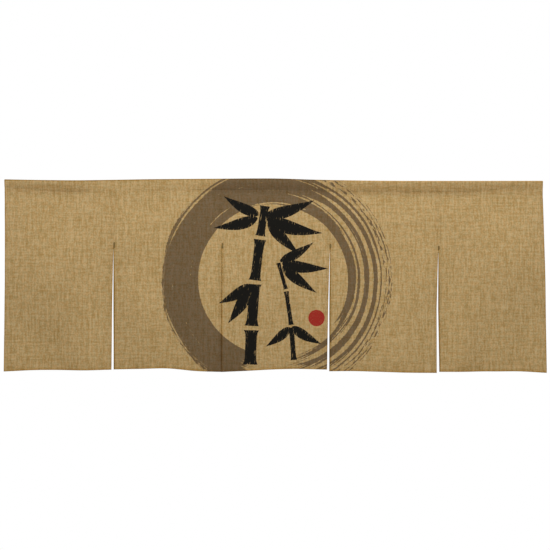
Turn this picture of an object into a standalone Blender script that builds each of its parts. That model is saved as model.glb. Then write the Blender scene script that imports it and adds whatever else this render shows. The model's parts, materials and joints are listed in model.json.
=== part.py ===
"""Noren: a split shop curtain of five hemp-look panels that hangs from a rod pocket.

The cloth hangs in the XZ plane. +X is the viewer's right, -Y is the front of the cloth and +Z is up.
The origin is the top of the rod pocket at mid-width, where a rod carries the curtain. Sizes are in metres.
"""

import math
from collections import namedtuple

import bmesh
import bpy

# Cloth and sewing
CLOTH_THICKNESS = 0.0015
HEM_THICKNESS = 0.0026
SIDE_HEM = 0.010
BOTTOM_HEM = 0.035
HEM_STEP = 0.002
PIECE_GAP = 0.0003
POCKET_DEPTH = 0.036
POCKET_SEWN_EDGE = 0.004
TACK_WIDTH = 0.0055
TACK_THICKNESS = 0.0012
TACK_BEVEL = 0.0004

# Half the pocket's thickness at its top fold and at its stitching, outside and inside
POCKET_OUTER_HALVES = (0.0020, 0.0015)
POCKET_INNER_HALVES = (0.0005, 0.0003)

# The pocket's walls stand out most where its height's share, raised to this power, is a half.
POCKET_BELLY_POWER = 0.6

# Below the pocket the cloth swings free of the rod's line over this height.
HANG_START = 0.10

# This share of a slit, just below its tack, stays closed.
SLIT_CLOSED_SHARE = 0.06

# Fineness of the solids
PANEL_COLUMNS = 11
PANEL_ROWS = 19
POCKET_STATIONS = 48
POCKET_SIDE_POINTS = 8

# Colours, linear: red, green, blue
CLOTH_COLOUR = (0.39, 0.27, 0.12)
THREAD_COLOUR = (0.10, 0.075, 0.03)

# The lines where one panel ends and the next begins, and the curtain's two outer edges. The cloth parts below
# split. left_half and left_foot are where the panel left of the line ends halfway down the split and at the hem.
Line = namedtuple("Line", "name top_x split left_half left_foot right_half right_foot tack_height")
LINES = (
    Line("left_edge", -0.8500, 0.036, None, None, -0.8481, -0.8516, None),
    Line("seam_1", -0.5055, 0.208, -0.5108, -0.5113, -0.5043, -0.5046, 0.016),
    Line("seam_2", -0.1636, 0.210, -0.1640, -0.1641, -0.1631, -0.1633, 0.013),
    Line("seam_3", 0.1781, 0.212, 0.1711, 0.1689, 0.1772, 0.1748, 0.011),
    Line("seam_4", 0.5197, 0.218, 0.5134, 0.5147, 0.5199, 0.5222, 0.010),
    Line("right_edge", 0.8500, 0.036, 0.8573, 0.8629, None, None, None),
)

# Each panel's hem: its height at the left corner, at each quarter and at the right corner, and how far its two
# edges swing back from the neighbouring panel's, at the foot.
Foot = namedtuple("Foot", "left quarter middle three_quarter right left_swing right_swing")
FEET = (
    Foot(-0.6091, -0.6056, -0.6047, -0.6053, -0.6034, -0.004, -0.003),
    Foot(-0.6031, -0.6013, -0.6004, -0.6072, -0.6110, 0.006, 0.004),
    Foot(-0.6106, -0.6070, -0.6035, -0.6015, -0.6036, -0.003, 0.005),
    Foot(-0.6086, -0.6088, -0.6104, -0.6128, -0.6140, -0.005, 0.004),
    Foot(-0.6105, -0.6104, -0.6103, -0.6099, -0.6135, -0.004, -0.005),
)

# Stations along the pocket: how far its top fold lies below the origin, and how far its walls belly out.
Crest = namedtuple("Crest", "x drop front_belly back_belly")
CRESTS = (
    Crest(-0.8520, 0.0026, 0.0072, 0.0082),
    Crest(-0.7400, 0.0047, 0.0090, 0.0084),
    Crest(-0.6240, 0.0057, 0.0086, 0.0080),
    Crest(-0.5055, 0.0042, 0.0072, 0.0082),
    Crest(-0.3900, 0.0023, 0.0071, 0.0084),
    Crest(-0.1900, 0.0009, 0.0074, 0.0082),
    Crest(0.0000, 0.0000, 0.0075, 0.0080),
    Crest(0.1300, 0.0038, 0.0079, 0.0080),
    Crest(0.2600, 0.0062, 0.0086, 0.0082),
    Crest(0.4000, 0.0075, 0.0092, 0.0084),
    Crest(0.5197, 0.0076, 0.0088, 0.0082),
    Crest(0.6600, 0.0076, 0.0090, 0.0080),
    Crest(0.7800, 0.0075, 0.0077, 0.0080),
    Crest(0.8520, 0.0073, 0.0071, 0.0082),
)

# Soft folds of the hanging cloth. A ridge towards the viewer has a depth below zero. Each fades to nothing at
# half_width and half_height from its middle, and is turned clockwise, as seen from the front, by turn degrees.
Fold = namedtuple("Fold", "x z half_width half_height turn depth")
FOLDS = (
    Fold(-0.715, -0.300, 0.170, 0.220, 18, -0.0150),
    Fold(-0.735, -0.560, 0.090, 0.150, 10, 0.0090),
    Fold(-0.600, -0.600, 0.080, 0.330, -4, -0.0070),
    Fold(-0.455, -0.190, 0.080, 0.120, 12, -0.0060),
    Fold(-0.430, -0.420, 0.100, 0.190, -12, -0.0100),
    Fold(-0.345, -0.610, 0.080, 0.260, 6, 0.0070),
    Fold(-0.225, -0.610, 0.075, 0.380, 3, -0.0110),
    Fold(-0.085, -0.420, 0.100, 0.260, -6, -0.0050),
    Fold(0.000, -0.610, 0.100, 0.300, 5, 0.0080),
    Fold(0.125, -0.560, 0.070, 0.300, 0, -0.0060),
    Fold(0.240, -0.600, 0.080, 0.280, -5, 0.0050),
    Fold(0.390, -0.620, 0.160, 0.440, 0, -0.0160),
    Fold(0.480, -0.300, 0.080, 0.160, 8, -0.0040),
    Fold(0.590, -0.560, 0.075, 0.260, 4, -0.0070),
    Fold(0.670, -0.620, 0.070, 0.240, 0, 0.0060),
    Fold(0.750, -0.270, 0.150, 0.210, -10, -0.0150),
    Fold(0.775, -0.600, 0.080, 0.200, 6, 0.0060),
)


def clear_scene():
    """Removes whatever the file opened with."""
    for obj in list(bpy.data.objects):
        bpy.data.objects.remove(obj)


def plain_material(name, colour, roughness):
    """A material with one colour."""
    material = bpy.data.materials.new(name)
    material.use_nodes = True
    shader = material.node_tree.nodes["Principled BSDF"]
    shader.inputs["Base Color"].default_value = (*colour, 1.0)
    shader.inputs["Roughness"].default_value = roughness
    shader.inputs["Metallic"].default_value = 0.0
    return material


def mix(a, b, share):
    """The value that lies this share of the way from a to b."""
    return a + (b - a) * share


def clamp(value):
    """The value, kept between 0 and 1."""
    return min(1.0, max(0.0, value))


def ease(share):
    """Runs from 0 to 1 with a slow start and a slow end."""
    share = clamp(share)
    return share * share * (3 - 2 * share)


def bell(offset):
    """1 at offset 0, falling smoothly to 0 at offset 1 either way."""
    return 0.5 + 0.5 * math.cos(math.pi * min(1.0, abs(offset)))


def curve_through(points, x):
    """The height at x of a smooth curve through (x, height) points, given in order of x."""
    last = len(points) - 1
    x = min(points[last][0], max(points[0][0], x))
    index = next(i for i in range(last) if x <= points[i + 1][0])
    (x0, y0), (x1, y1) = points[index], points[index + 1]

    def rise(i):
        before, after = points[max(0, i - 1)], points[min(last, i + 1)]
        return (after[1] - before[1]) / (after[0] - before[0]) * (x1 - x0) - (y1 - y0)

    share = (x - x0) / (x1 - x0)
    bend = share * (1 - share) * ((1 - share) * rise(index) - share * rise(index + 1))
    return mix(y0, y1, share) + bend


def crest(column, x):
    """One column of the pocket's stations, read at x."""
    return curve_through([(row.x, getattr(row, column)) for row in CRESTS], x)


def foot_z(panel, share):
    """The height of a panel's hem at a share of its width."""
    heights = FEET[panel][:5]
    return curve_through([(i / 4, z) for i, z in enumerate(heights)], share)


def below_split(line, z):
    """How far down a line's split a height lies: 0 at its top, 1 at the hem."""
    return clamp((-line.split - z) / (-line.split - FEET[0].middle))


def edge_x(line, side, z):
    """Where the panel on one side of a line ends at a height. side is -1 for the panel left of the line."""
    half, foot = (line.left_half, line.left_foot) if side < 0 else (line.right_half, line.right_foot)
    start = line.top_x + side * PIECE_GAP / 2
    drop = below_split(line, z)
    opened = ease((drop - SLIT_CLOSED_SHARE) / (0.5 - SLIT_CLOSED_SHARE))
    return mix(start, half, opened) + (foot - half) * clamp(2 * drop - 1)


def fold_depth(fold, x, z):
    """How far back one fold pushes the cloth at a point."""
    turn = math.radians(fold.turn)
    dx, dz = x - fold.x, z - fold.z
    across = dx * math.cos(turn) - dz * math.sin(turn)
    along = dx * math.sin(turn) + dz * math.cos(turn)
    return fold.depth * bell(across / fold.half_width) * bell(along / fold.half_height)


def drape(x, z):
    """How far the cloth stands behind the plane it hangs in. The pocket's stitching holds it flat."""
    return ease((-POCKET_DEPTH - z) / HANG_START) * sum(fold_depth(fold, x, z) for fold in FOLDS)


def panel_depth(panel, share, x, z):
    """How far back a panel stands, with the swing of its free edges below the splits."""
    left = FEET[panel].left_swing * ease(below_split(LINES[panel], z)) * bell(share / 0.5)
    right = FEET[panel].right_swing * ease(below_split(LINES[panel + 1], z)) * bell((1 - share) / 0.5)
    return drape(x, z) + left + right


def finished(name, mesh_data, material):
    """Turns a bmesh into an object in the scene, with its faces pointing out and soft shading."""
    bmesh.ops.recalc_face_normals(mesh_data, faces=mesh_data.faces[:])
    mesh = bpy.data.meshes.new(name)
    mesh_data.to_mesh(mesh)
    mesh_data.free()
    mesh.shade_smooth()
    mesh.set_sharp_from_angle(angle=math.radians(40))
    mesh.materials.append(material)
    obj = bpy.data.objects.new(name, mesh)
    bpy.context.scene.collection.objects.link(obj)
    return obj


def bridge(mesh_data, one, other):
    """Faces between two closed loops of the same length."""
    for i in range(len(one)):
        j = (i + 1) % len(one)
        mesh_data.faces.new((one[i], one[j], other[j], other[i]))


def closed_sheet(name, front, back, material):
    """A closed solid from two grids of points of the same size, joined round their rim."""
    mesh_data = bmesh.new()
    rims = []
    for grid in (front, back):
        verts = [[mesh_data.verts.new(point) for point in row] for row in grid]
        for upper, lower in zip(verts, verts[1:]):
            for i in range(len(upper) - 1):
                mesh_data.faces.new((upper[i], lower[i], lower[i + 1], upper[i + 1]))
        down_right = [row[-1] for row in verts[1:-1]]
        up_left = [row[0] for row in verts[-2:0:-1]]
        rims.append(verts[0] + down_right + verts[-1][::-1] + up_left)
    bridge(mesh_data, *rims)
    return finished(name, mesh_data, material)


def panel_columns(width):
    """Shares of a panel's width where its grid has lines, each with whether it lies in a side hem."""
    hem, step = SIDE_HEM / width, HEM_STEP / width
    inner = [mix(hem + step, 1 - hem - step, i / PANEL_COLUMNS) for i in range(PANEL_COLUMNS + 1)]
    return [(0.0, True), (hem, True)] + [(share, False) for share in inner] + [(1 - hem, True), (1.0, True)]


def panel_rows(height):
    """Shares of a panel's height where its grid has lines, each with whether it lies in the bottom hem."""
    hem, step = BOTTOM_HEM / height, HEM_STEP / height
    inner = [mix(0.0, 1 - hem - step, j / PANEL_ROWS) for j in range(PANEL_ROWS + 1)]
    return [(share, False) for share in inner] + [(1 - hem, True), (1 - hem / 2, True), (1.0, True)]


def make_panel(index, material):
    """One panel, from the pocket's stitching to its hem. Its hems are turned to the back, where it is thicker."""
    left, right = LINES[index], LINES[index + 1]
    width = right.top_x - left.top_x
    height = -POCKET_DEPTH - FEET[index].middle
    front, back = [], []
    for down, in_foot_hem in panel_rows(height):
        front.append([])
        back.append([])
        for share, in_side_hem in panel_columns(width):
            top = -crest("drop", mix(left.top_x, right.top_x, share)) - POCKET_DEPTH - PIECE_GAP
            z = mix(top, foot_z(index, share), down)
            x = mix(edge_x(left, 1, z), edge_x(right, -1, z), share)
            y = panel_depth(index, share, x, z) - CLOTH_THICKNESS
            thickness = HEM_THICKNESS if in_foot_hem or in_side_hem else CLOTH_THICKNESS
            front[-1].append((x, y, z))
            back[-1].append((x, y + thickness, z))
    return closed_sheet(f"panel_{index + 1}", front, back, material)


def pocket_loop(x, halves, inset, foot_inset):
    """The outline, in (y, z), of the pocket's outside or inside at x."""
    top = -crest("drop", x) - inset
    foot = -crest("drop", x) - POCKET_DEPTH + foot_inset
    bellies = crest("front_belly", x) - inset, crest("back_belly", x) - inset

    def wall(sign, belly, share):
        swell = math.sin(math.pi * share**POCKET_BELLY_POWER)
        return sign * (mix(*halves, share) + (belly - halves[0]) * swell), mix(top, foot, share)

    shares = [0.5 - 0.5 * math.cos(math.pi * i / POCKET_SIDE_POINTS) for i in range(POCKET_SIDE_POINTS + 1)]
    return [wall(-1, bellies[0], share) for share in shares] + [wall(1, bellies[1], share) for share in shares[::-1]]


def make_rod_pocket(material):
    """The folded and stitched tunnel along the top, open at both ends."""
    mesh_data = bmesh.new()
    skins = []
    for halves, inset, foot_inset in (
        (POCKET_OUTER_HALVES, 0.0, 0.0),
        (POCKET_INNER_HALVES, CLOTH_THICKNESS, POCKET_SEWN_EDGE),
    ):
        loops = []
        for k in range(POCKET_STATIONS + 1):
            x = mix(LINES[0].top_x, LINES[-1].top_x, k / POCKET_STATIONS)
            outline = pocket_loop(x, halves, inset, foot_inset)
            loops.append([mesh_data.verts.new((x, y, z)) for y, z in outline])
        for one, other in zip(loops, loops[1:]):
            bridge(mesh_data, one, other)
        skins.append(loops)
    for end in (0, -1):
        bridge(mesh_data, skins[0][end], skins[1][end])
    return finished("rod_pocket", mesh_data, material)


def make_slit_tack(index, material):
    """A bar of close stitches across the top of a slit, on the front of the cloth."""
    line = LINES[index]
    z = -line.split
    size = (TACK_WIDTH, TACK_THICKNESS, line.tack_height)
    cloth = min(
        drape(line.top_x + across * TACK_WIDTH / 2, z + along * line.tack_height / 2)
        for across in (-1, 0, 1)
        for along in (-1, 0, 1)
    )
    y = cloth - CLOTH_THICKNESS - PIECE_GAP - TACK_THICKNESS / 2
    mesh_data = bmesh.new()
    bmesh.ops.create_cube(mesh_data, size=1.0)
    bmesh.ops.scale(mesh_data, vec=size, verts=mesh_data.verts[:])
    bmesh.ops.bevel(
        mesh_data, geom=mesh_data.edges[:], offset=TACK_BEVEL, segments=2, profile=0.5, affect="EDGES"
    )
    bmesh.ops.translate(mesh_data, vec=(line.top_x, y, z), verts=mesh_data.verts[:])
    return finished(f"slit_tack_{index}", mesh_data, material)


def main():
    """Builds the curtain."""
    clear_scene()
    cloth = plain_material("hemp_cloth", CLOTH_COLOUR, 0.85)
    thread = plain_material("tack_thread", THREAD_COLOUR, 0.7)
    make_rod_pocket(cloth)
    for index in range(len(FEET)):
        make_panel(index, cloth)
    for index in range(1, len(LINES) - 1):
        make_slit_tack(index, thread)


main()
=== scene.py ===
"""Dresses the noren: a split shop curtain of slubby hemp-look cloth, hung from its rod pocket.

The cloth hangs in the XZ plane, its front faces -Y and the origin is the middle of its top fold. Sizes are
in metres. CRESTS and FOLDS repeat the part's own tables, and LINES and FEET follow the part's within 4 mm, so
each sheet of cloth lies where its solid lies.
"""

import json
import logging
import math
from collections.abc import Callable, Iterable, Mapping, Sequence
from dataclasses import dataclass, field
from enum import Enum
from typing import Any, Union

import bmesh
import bpy
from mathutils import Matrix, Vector, noise

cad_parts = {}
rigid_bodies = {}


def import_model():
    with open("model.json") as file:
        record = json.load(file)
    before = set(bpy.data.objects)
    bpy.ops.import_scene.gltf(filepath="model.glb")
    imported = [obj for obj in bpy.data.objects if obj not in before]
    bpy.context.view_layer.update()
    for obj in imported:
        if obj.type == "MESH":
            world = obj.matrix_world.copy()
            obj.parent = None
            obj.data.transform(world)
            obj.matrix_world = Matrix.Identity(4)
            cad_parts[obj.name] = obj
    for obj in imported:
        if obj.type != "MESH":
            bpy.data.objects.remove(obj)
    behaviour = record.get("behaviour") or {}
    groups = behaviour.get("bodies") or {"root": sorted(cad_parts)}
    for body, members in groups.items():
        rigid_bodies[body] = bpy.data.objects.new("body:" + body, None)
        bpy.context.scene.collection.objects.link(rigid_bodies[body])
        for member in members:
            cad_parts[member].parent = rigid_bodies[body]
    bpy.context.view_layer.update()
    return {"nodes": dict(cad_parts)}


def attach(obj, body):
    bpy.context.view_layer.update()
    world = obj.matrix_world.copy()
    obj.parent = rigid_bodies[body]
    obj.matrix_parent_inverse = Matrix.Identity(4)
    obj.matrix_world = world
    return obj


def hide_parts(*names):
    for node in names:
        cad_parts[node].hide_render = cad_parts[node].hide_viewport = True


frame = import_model()
LOG = logging.getLogger("noren")

Point = tuple[float, float, float]
Pair = tuple[float, float]
Rows = Sequence[Sequence[int]]
FORWARD = Vector((0, -1, 0))
BACKWARD = Vector((0, 1, 0))


def mix(a: float, b: float, share: float) -> float:
    """Returns the value that lies this share of the way from a to b."""
    return a + (b - a) * share


def clamp(value: float) -> float:
    """Returns the value, kept between 0 and 1."""
    return min(1.0, max(0.0, value))


def ease(share: float) -> float:
    """Returns 0 to 1 with a slow start and a slow end."""
    share = clamp(share)
    return share * share * (3 - 2 * share)


def bell(offset: float) -> float:
    """Returns 1 at offset 0, falling smoothly to 0 at offset 1 either way."""
    return 0.5 + 0.5 * math.cos(math.pi * min(1.0, abs(offset)))


def groove(offset: float) -> float:
    """Returns 1 at offset 0, falling fast to nearly 0 at offset 2 either way."""
    return math.exp(-(offset**2))


def edge_fade(inset: float, reach: float, full: float = 1.6) -> float:
    """Returns 1 beside an edge, easing to 0 at its reach."""
    return ease(full - full * inset / reach)


def edge_roll(inset: float, half: float) -> float:
    """Finds how far a sheet's rounded edge draws its faces in.

    Args:
        inset: Distance from the edge.
        half: Half the sheet's thickness.

    Returns:
        The distance.
    """
    outward = min(0.95, max(0.0, 1 - inset / half))
    return half * (1 - math.sqrt(1 - outward**2))


def curve_through(points: Sequence[Pair], x: float) -> float:
    """Reads a smooth curve through points.

    Args:
        points: The (x, height) points, in order of x.
        x: Where to read it.

    Returns:
        The height at x.
    """
    last = len(points) - 1
    x = min(points[last][0], max(points[0][0], x))
    index = next(i for i in range(last) if x <= points[i + 1][0])
    (x0, y0), (x1, y1) = points[index], points[index + 1]

    def rise(i: int) -> float:
        """Returns how far the slope at a point departs from this stretch's own."""
        before, after = points[max(0, i - 1)], points[min(last, i + 1)]
        return (after[1] - before[1]) / (after[0] - before[0]) * (x1 - x0) - (y1 - y0)

    share = (x - x0) / (x1 - x0)
    bend = share * (1 - share) * ((1 - share) * rise(index) - share * rise(index + 1))
    return mix(y0, y1, share) + bend


class Side(Enum):
    """The side of a line between two panels."""

    LEFT = -1
    RIGHT = 1


class Slot(Enum):
    """The record's material slots."""

    CLOTH = "hemp_cloth"
    TACK = "tack_thread"


@dataclass(frozen=True)
class Drift:
    """Smooth unevenness of the cloth: its size across and down, what sets it apart, and its depth."""

    across: float
    down: float
    seed: float
    depth: float = 1.0

    def at(self, x: float, z: float = 0.0) -> float:
        """Returns the unevenness at a place, of about its depth either way."""
        return self.depth * noise.noise(Vector((x / self.across, self.seed, z / self.down)))


@dataclass(frozen=True)
class Line:
    """A seam with the slit below it, or an outer edge: where the panels on its two sides end."""

    top_x: float
    split: float
    left_half: float = 0.0
    left_foot: float = 0.0
    right_half: float = 0.0
    right_foot: float = 0.0
    tack_height: float = 0.0
    tack_aside: float = 0.0


@dataclass(frozen=True)
class Foot:
    """A panel's hem: its height at five places across it, and the swing of its two edges."""

    left: float
    quarter: float
    middle: float
    three_quarter: float
    right: float
    left_swing: float
    right_swing: float


@dataclass(frozen=True)
class Crest:
    """A station of the pocket: how far its fold lies below the origin, and how far its back stands out."""

    x: float
    drop: float
    back_belly: float


@dataclass(frozen=True)
class Fold:
    """A soft ridge or trough that fades to nothing half its width and height from its middle."""

    x: float
    z: float
    half_width: float
    half_height: float
    turn: float
    depth: float

    def push(self, x: float, z: float) -> float:
        """Finds how far this fold pushes the cloth.

        Args:
            x: Place across the cloth.
            z: Height.

        Returns:
            The distance back, less than 0 where the fold stands forward.
        """
        turn = math.radians(self.turn)
        dx, dz = x - self.x, z - self.z
        across = dx * math.cos(turn) - dz * math.sin(turn)
        along = dx * math.sin(turn) + dz * math.cos(turn)
        if abs(across) >= self.half_width or abs(along) >= self.half_height:
            return 0.0
        return self.depth * bell(across / self.half_width) * bell(along / self.half_height)


@dataclass(frozen=True)
class Pinch:
    """A station of the pocket's stitching: how hard it draws the cloth in, and where its hollow ends."""

    x: float
    strength: float
    reach: float


LINES = (
    Line(-0.8489, 0.036, right_half=-0.8476, right_foot=-0.8512),
    Line(-0.5055, 0.210, -0.5094, -0.5115, -0.5054, -0.5052, 0.0180, 0.0030),
    Line(-0.1636, 0.212, -0.1637, -0.1638, -0.1635, -0.1636, 0.0170, 0.0020),
    Line(0.1781, 0.213, 0.1722, 0.1689, 0.1757, 0.1753, 0.0125, 0.0015),
    Line(0.5197, 0.219, 0.5145, 0.5149, 0.5191, 0.5223, 0.0125, 0.0013),
    Line(0.8494, 0.036, left_half=0.8568, left_foot=0.8614),
)
SEAMS = LINES[1:-1]
# The slit whose two sides touch all the way down, by its place in LINES
CLOSED_SLIT = 2
FEET = (
    Foot(-0.6091, -0.6056, -0.6047, -0.6053, -0.6034, -0.004, -0.003),
    Foot(-0.6031, -0.6013, -0.6004, -0.6072, -0.6110, 0.002, 0.004),
    Foot(-0.6106, -0.6070, -0.6035, -0.6015, -0.6036, -0.003, 0.005),
    Foot(-0.6082, -0.6083, -0.6098, -0.6121, -0.6138, -0.005, 0.001),
    Foot(-0.6101, -0.6098, -0.6096, -0.6093, -0.6133, -0.004, -0.005),
)
CRESTS = (
    Crest(-0.8520, 0.0026, 0.0082),
    Crest(-0.7400, 0.0047, 0.0084),
    Crest(-0.6240, 0.0057, 0.0080),
    Crest(-0.5055, 0.0042, 0.0082),
    Crest(-0.3900, 0.0023, 0.0084),
    Crest(-0.1900, 0.0009, 0.0082),
    Crest(0.0000, 0.0000, 0.0080),
    Crest(0.1300, 0.0038, 0.0080),
    Crest(0.2600, 0.0062, 0.0082),
    Crest(0.4000, 0.0075, 0.0084),
    Crest(0.5197, 0.0076, 0.0082),
    Crest(0.6600, 0.0076, 0.0080),
    Crest(0.7800, 0.0075, 0.0080),
    Crest(0.8520, 0.0073, 0.0082),
)
FOLDS = (
    Fold(-0.715, -0.300, 0.170, 0.220, 18, -0.0150),
    Fold(-0.735, -0.560, 0.090, 0.150, 10, 0.0090),
    Fold(-0.600, -0.600, 0.080, 0.330, -4, -0.0070),
    Fold(-0.455, -0.190, 0.080, 0.120, 12, -0.0060),
    Fold(-0.430, -0.420, 0.100, 0.190, -12, -0.0100),
    Fold(-0.345, -0.610, 0.080, 0.260, 6, 0.0070),
    Fold(-0.225, -0.610, 0.075, 0.380, 3, -0.0110),
    Fold(-0.085, -0.420, 0.100, 0.260, -6, -0.0050),
    Fold(0.000, -0.610, 0.100, 0.300, 5, 0.0080),
    Fold(0.125, -0.560, 0.070, 0.300, 0, -0.0060),
    Fold(0.240, -0.600, 0.080, 0.280, -5, 0.0050),
    Fold(0.390, -0.620, 0.160, 0.440, 0, -0.0160),
    Fold(0.480, -0.300, 0.080, 0.160, 8, -0.0040),
    Fold(0.590, -0.560, 0.075, 0.260, 4, -0.0070),
    Fold(0.670, -0.620, 0.070, 0.240, 0, 0.0060),
    Fold(0.750, -0.270, 0.150, 0.210, -10, -0.0150),
    Fold(0.775, -0.600, 0.080, 0.200, 6, 0.0060),
)
PINCHES = (
    Pinch(-0.860, 0.55, 0.80),
    Pinch(-0.780, 0.80, 0.85),
    Pinch(-0.720, 1.00, 0.96),
    Pinch(-0.660, 1.00, 1.04),
    Pinch(-0.610, 0.75, 1.00),
    Pinch(-0.555, 0.35, 0.95),
    Pinch(-0.490, 0.12, 0.95),
    Pinch(-0.420, 0.15, 0.95),
    Pinch(-0.360, 0.30, 1.00),
    Pinch(-0.280, 0.35, 1.00),
    Pinch(-0.190, 0.80, 1.00),
    Pinch(-0.040, 0.80, 1.00),
    Pinch(0.100, 0.80, 0.95),
    Pinch(0.190, 0.90, 1.05),
    Pinch(0.270, 1.00, 1.10),
    Pinch(0.440, 1.10, 1.15),
    Pinch(0.590, 1.05, 1.15),
    Pinch(0.650, 0.90, 0.95),
    Pinch(0.700, 0.75, 0.80),
    Pinch(0.790, 0.65, 0.75),
    Pinch(0.860, 0.40, 0.75),
)
# Creases that only the dressed cloth has: fine long ones, and three broad soft ones at the end
CREASES = (
    Fold(-0.745, -0.165, 0.010, 0.110, 72, -0.0011),
    Fold(-0.690, -0.235, 0.014, 0.120, 66, -0.0010),
    Fold(-0.560, -0.250, 0.011, 0.090, 40, 0.0009),
    Fold(-0.462, -0.262, 0.012, 0.080, -52, 0.0009),
    Fold(-0.300, -0.500, 0.012, 0.120, 8, -0.0009),
    Fold(-0.205, -0.262, 0.010, 0.080, 35, 0.0008),
    Fold(-0.060, -0.520, 0.013, 0.110, -6, -0.0009),
    Fold(0.132, -0.270, 0.011, 0.090, 38, 0.0008),
    Fold(0.225, -0.265, 0.011, 0.090, -44, 0.0009),
    Fold(0.400, -0.140, 0.011, 0.120, 78, -0.0008),
    Fold(0.468, -0.285, 0.012, 0.090, 42, 0.0009),
    Fold(0.575, -0.195, 0.009, 0.100, 88, 0.0009),
    Fold(0.600, -0.360, 0.010, 0.110, 84, -0.0008),
    Fold(0.770, -0.150, 0.012, 0.120, -70, -0.0010),
    Fold(0.805, -0.470, 0.013, 0.110, 14, 0.0010),
    Fold(0.438, -0.700, 0.085, 0.165, 0, -0.0068),
    Fold(-0.830, -0.105, 0.085, 0.068, 0, -0.0017),
    Fold(0.810, -0.105, 0.085, 0.062, 0, -0.0015),
)


@dataclass(frozen=True)
class HangingShape:
    """The shape in which the cloth hangs: its edges, its hem, its pocket and its folds.

    A pair that ends in loose_tight gives a size where the pocket's stitching is loose and where it is tight.
    """

    pocket_depth: float = 0.036
    face: float = 0.0015
    piece_gap: float = 0.00002
    hang_start: float = 0.10
    crease_start: float = 0.05
    closed_share: float = 0.03
    opening_power: float = 0.8
    pinch_drift: Drift = Drift(0.045, 1.0, 13.1, 0.12)
    forward_loose_tight: Pair = (0.0016, 0.0010)
    held_loose_tight: Pair = (0.060, 0.016)
    hollow_power_loose_tight: Pair = (1.2, 1.85)
    belly_loose_tight: Pair = (0.0014, 0.0072)
    drawn_reach: float = 0.09
    sink: float = 0.0018
    sink_down: float = 0.015
    sink_up: float = 0.072
    pucker_reach: float = 0.03
    pucker_drift: Drift = Drift(0.011, 1.0, 3.7)
    pucker_fade: float = 0.008
    pucker_depth: float = 0.00028
    stitch_groove: float = 0.0016
    cockle_broad: Drift = Drift(0.085, 0.120, 11.3, 0.0011)
    cockle_fine: Drift = Drift(0.022, 0.035, 5.1, 0.00022)
    fold_turn: float = 0.07
    front_drift: Drift = Drift(0.060, 0.030, 8.2, 0.0005)
    back_drift: Drift = Drift(0.060, 0.030, 2.9, 0.0005)
    back_power: float = 0.6
    back_top: float = 0.0020
    back_foot: float = 0.0019

    def crest(self, column: str, x: float) -> float:
        """Returns one column of the pocket's stations, read at x."""
        return curve_through([(row.x, getattr(row, column)) for row in CRESTS], x)

    def stitch_z(self, x: float) -> float:
        """Returns the height of the pocket's stitching at x."""
        return -self.crest("drop", x) - self.pocket_depth

    def foot_z(self, panel: int, share: float) -> float:
        """Finds the height of a panel's hem.

        Args:
            panel: The panel's place from the left, from 0.
            share: The share of its width.

        Returns:
            The height.
        """
        foot = FEET[panel]
        heights = (foot.left, foot.quarter, foot.middle, foot.three_quarter, foot.right)
        return curve_through([(i / 4, z) for i, z in enumerate(heights)], share)

    def below_split(self, line: Line, z: float) -> float:
        """Returns how far down a line's split a height lies: 0 at its top, 1 at the hem."""
        return clamp((-line.split - z) / (-line.split - FEET[0].middle))

    def edge_x(self, line: Line, side: Side, z: float) -> float:
        """Finds where a panel ends beside a line.

        Args:
            line: The seam or outer edge.
            side: The side of the line on which the panel lies.
            z: The height.

        Returns:
            The place across the cloth.
        """
        left = side is Side.LEFT
        half = line.left_half if left else line.right_half
        foot = line.left_foot if left else line.right_foot
        start = line.top_x + side.value * self.piece_gap / 2
        drop = self.below_split(line, z)
        opened = clamp((drop - self.closed_share) / (0.5 - self.closed_share)) ** self.opening_power
        return mix(start, half, opened) + (foot - half) * clamp(2 * drop - 1)

    def pinch(self, x: float) -> float:
        """Returns how hard the pocket's stitching draws the cloth in at x."""
        return curve_through([(row.x, row.strength) for row in PINCHES], x) + self.pinch_drift.at(x)

    def pinch_reach(self, x: float) -> float:
        """Returns the share of the pocket's height at which the hollow in its front ends at x."""
        return curve_through([(row.x, row.reach) for row in PINCHES], x)

    def forward(self, x: float) -> float:
        """Returns how far forward the pocket's stitching holds the cloth at x."""
        return mix(*self.forward_loose_tight, self.pinch(x))

    def drawn(self, x: float, z: float) -> float:
        """Finds how far forward the cloth hangs below the pocket's stitching.

        Args:
            x: Place across the cloth.
            z: Height.

        Returns:
            The distance, less than 0 where the cloth hangs further back.
        """
        off = max(0.0, self.stitch_z(x) - z)
        if off > self.drawn_reach:
            return 0.0
        pinch = self.pinch(x)
        held = self.forward(x) * (1 - clamp(off / mix(*self.held_loose_tight, pinch))) ** 2
        hollow = clamp((self.pinch_reach(x) - 0.85) / 0.3)
        sunk = hollow * ease(off / self.sink_down) * (1 - ease((off - self.sink_down) / self.sink_up))
        return held - self.sink * pinch * sunk

    def pucker(self, x: float, z: float) -> float:
        """Finds how far the pocket's stitching dimples the cloth near its line.

        Args:
            x: Place across the cloth.
            z: Height.

        Returns:
            The depth of the dimple.
        """
        off = abs(z - self.stitch_z(x))
        if off > self.pucker_reach:
            return 0.0
        ripple = self.pucker_drift.at(x) * math.exp(-off / self.pucker_fade)
        return self.pucker_depth * (ripple + 0.7 * groove(off / self.stitch_groove))

    def cockle(self, x: float, z: float) -> float:
        """Finds the fine unevenness of woven cloth that was never pressed flat.

        Args:
            x: Place across the cloth.
            z: Height.

        Returns:
            The distance back, less than 0 where the cloth stands forward.
        """
        creased = self.cockle_broad.at(x, z) + sum(crease.push(x, z) for crease in CREASES)
        below = ease((-self.pocket_depth - z) / self.crease_start)
        return creased * below + self.cockle_fine.at(x, z)

    def drape(self, x: float, z: float) -> float:
        """Returns how far the cloth stands behind the plane in which it hangs."""
        below = ease((-self.pocket_depth - z) / self.hang_start)
        return below * sum(fold.push(x, z) for fold in FOLDS)

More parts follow.
